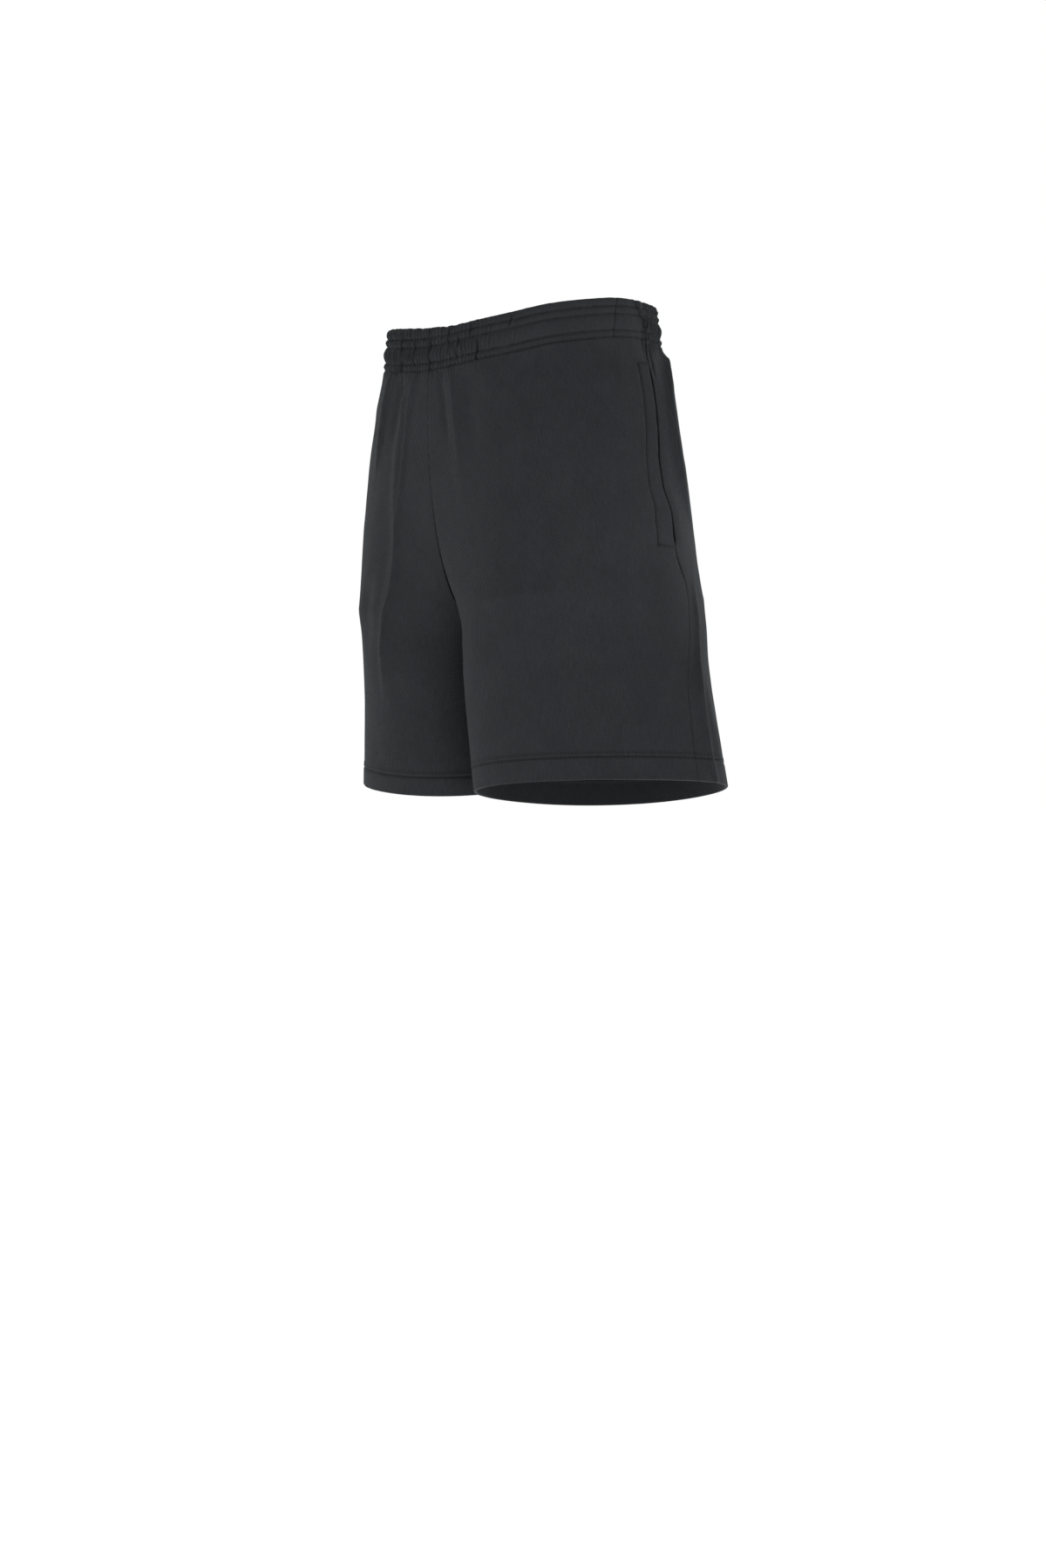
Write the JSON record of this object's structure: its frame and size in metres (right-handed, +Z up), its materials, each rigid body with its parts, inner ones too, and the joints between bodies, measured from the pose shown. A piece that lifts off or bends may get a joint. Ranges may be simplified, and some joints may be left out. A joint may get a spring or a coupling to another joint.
{
  "type": "fleece shorts",
  "caption": "Pull-on fleece shorts in worn form, hollow, with a gathered elastic waistband, in-seam side pockets and wide turned hems.",
  "frame": {"origin": "the middle of the waist, on the body's axis and half way up the waistband, where the wearer holds the shorts up", "axes": "+Z is up, -Y is the way the wearer faces, +X is the wearer's left"},
  "size_m": [0.4388, 0.2504, 0.486],
  "materials": {
    "fleece": "matt off-black cotton fleece, fine vertical wales outside",
    "waistband_fleece": "the same fleece, gathered over elastic and stitched through in rows",
    "pocket_jersey": "matt off-black cotton jersey"
  },
  "bodies": {
    "root": {"front_left": "fleece", "front_right": "fleece", "back_left": "fleece", "back_right": "fleece", "waistband_front_left": "waistband_fleece", "waistband_front_right": "waistband_fleece", "waistband_back": "waistband_fleece", "pocket_left": "pocket_jersey", "pocket_right": "pocket_jersey"}
  },
  "joints": []
}
